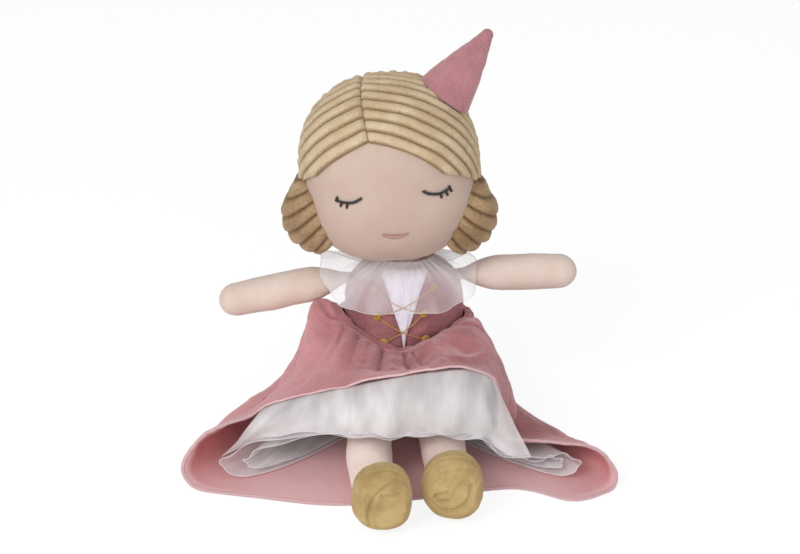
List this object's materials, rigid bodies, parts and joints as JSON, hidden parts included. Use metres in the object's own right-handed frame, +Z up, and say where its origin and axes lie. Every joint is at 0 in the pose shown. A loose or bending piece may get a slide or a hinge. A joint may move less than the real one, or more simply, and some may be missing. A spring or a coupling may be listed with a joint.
{
  "type": "soft doll",
  "caption": "Seated soft doll in a long velour gown with a net petticoat and collar, ribbed plush hair with side buns and a small pointed hat.",
  "frame": {"origin": "on the floor under the neck, on the flat underside of the skirt that the doll sits on", "axes": "+Z up, the doll faces -Y, and +X is its own left side"},
  "size_m": [0.2475, 0.202, 0.2406],
  "materials": {
    "skin": "short plush",
    "hair": "ribbed plush",
    "hat": "velour",
    "velour": "velour with a smooth paler back",
    "bodice": "velour",
    "insert": "satin",
    "tulle": "fine net",
    "shoe": "suede with a faint metallic sheen"
  },
  "bodies": {
    "torso": {"torso": "skin", "bodice_front": "bodice", "bodice_back": "bodice", "front_insert": "insert", "collar": "tulle"},
    "neck": {"neck": "skin"},
    "head": {"head": "skin", "left_front_hair": "hair", "right_front_hair": "hair", "back_hair": "hair", "hat": "hat"},
    "left_bun": {"left_bun": "hair"},
    "right_bun": {"right_bun": "hair"},
    "left_shoulder": {"left_shoulder_tab": "skin"},
    "left_arm": {"left_arm": "skin"},
    "right_shoulder": {"right_shoulder_tab": "skin"},
    "right_arm": {"right_arm": "skin"},
    "left_hip": {"left_hip_tab": "skin"},
    "left_leg": {"left_leg": "skin", "left_shoe": "shoe", "left_sole": "shoe"},
    "right_hip": {"right_hip_tab": "skin"},
    "right_leg": {"right_leg": "skin", "right_shoe": "shoe", "right_sole": "shoe"},
    "skirt": {"petticoat_front": "tulle", "petticoat_back": "tulle", "skirt_front": "velour", "skirt_back": "velour"}
  },
  "joints": [
    {"name": "neck_nod", "type": "hinge", "parent": "torso", "child": "neck", "pos_m": [0, 0, 0.097], "axis": [1, 0, 0], "range_deg": [-8, 12], "deforming": ["collar"]},
    {"name": "head_turn", "type": "hinge", "parent": "neck", "child": "head", "pos_m": [0, 0, 0.11], "axis": [0, 0, 1], "range_deg": [-25, 25], "deforming": ["collar"]},
    {"name": "left_bun_swing", "type": "hinge", "parent": "head", "child": "left_bun", "pos_m": [0.044, -0.011, 0.1535], "axis": [0, -1, 0], "range_deg": [0, 15]},
    {"name": "right_bun_swing", "type": "hinge", "parent": "head", "child": "right_bun", "pos_m": [-0.061, -0.011, 0.1535], "axis": [0, 1, 0], "range_deg": [0, 15]},
    {"name": "left_arm_raise", "type": "hinge", "parent": "torso", "child": "left_shoulder", "pos_m": [0.03296, 0, 0.0903], "axis": [0, 1, 0], "range_deg": [-10, 45], "deforming": ["collar"]},
    {"name": "left_arm_swing", "type": "hinge", "parent": "left_shoulder", "child": "left_arm", "pos_m": [0.03946, 0, 0.09047], "axis": [0.0262, 0, -0.9997], "range_deg": [-20, 40], "deforming": ["collar"]},
    {"name": "right_arm_raise", "type": "hinge", "parent": "torso", "child": "right_shoulder", "pos_m": [-0.0342, 0, 0.088], "axis": [0, -1, 0], "range_deg": [-20, 35], "deforming": ["collar"]},
    {"name": "right_arm_swing", "type": "hinge", "parent": "right_shoulder", "child": "right_arm", "pos_m": [-0.04059, 0, 0.08682], "axis": [-0.1822, 0, 0.9833], "range_deg": [-20, 40], "deforming": ["collar"]},
    {"name": "left_hip_fold", "type": "hinge", "parent": "torso", "child": "left_hip", "pos_m": [0.017, -0.02607, 0.0134], "axis": [1, 0, 0], "range_deg": [-15, 80]},
    {"name": "left_leg_splay", "type": "hinge", "parent": "left_hip", "child": "left_leg", "pos_m": [0.017, -0.03256, 0.0134], "axis": [0, 0, 1], "range_deg": [-1, 15]},
    {"name": "right_hip_fold", "type": "hinge", "parent": "torso", "child": "right_hip", "pos_m": [-0.017, -0.02607, 0.0134], "axis": [1, 0, 0], "range_deg": [-15, 80]},
    {"name": "right_leg_splay", "type": "hinge", "parent": "right_hip", "child": "right_leg", "pos_m": [-0.017, -0.03256, 0.0134], "axis": [0, 0, -1], "range_deg": [-1, 15]},
    {"name": "skirt_fold", "type": "hinge", "parent": "torso", "child": "skirt", "pos_m": [0, -0.02607, 0.0134], "axis": [1, 0, 0], "range_deg": [-15, 80], "deforming": ["petticoat_front", "petticoat_back", "skirt_front", "skirt_back"]}
  ],
  "couplings": [
    {"joint": "right_hip_fold", "follows": "left_hip_fold", "ratio": 1},
    {"joint": "skirt_fold", "follows": "left_hip_fold", "ratio": 1}
  ]
}
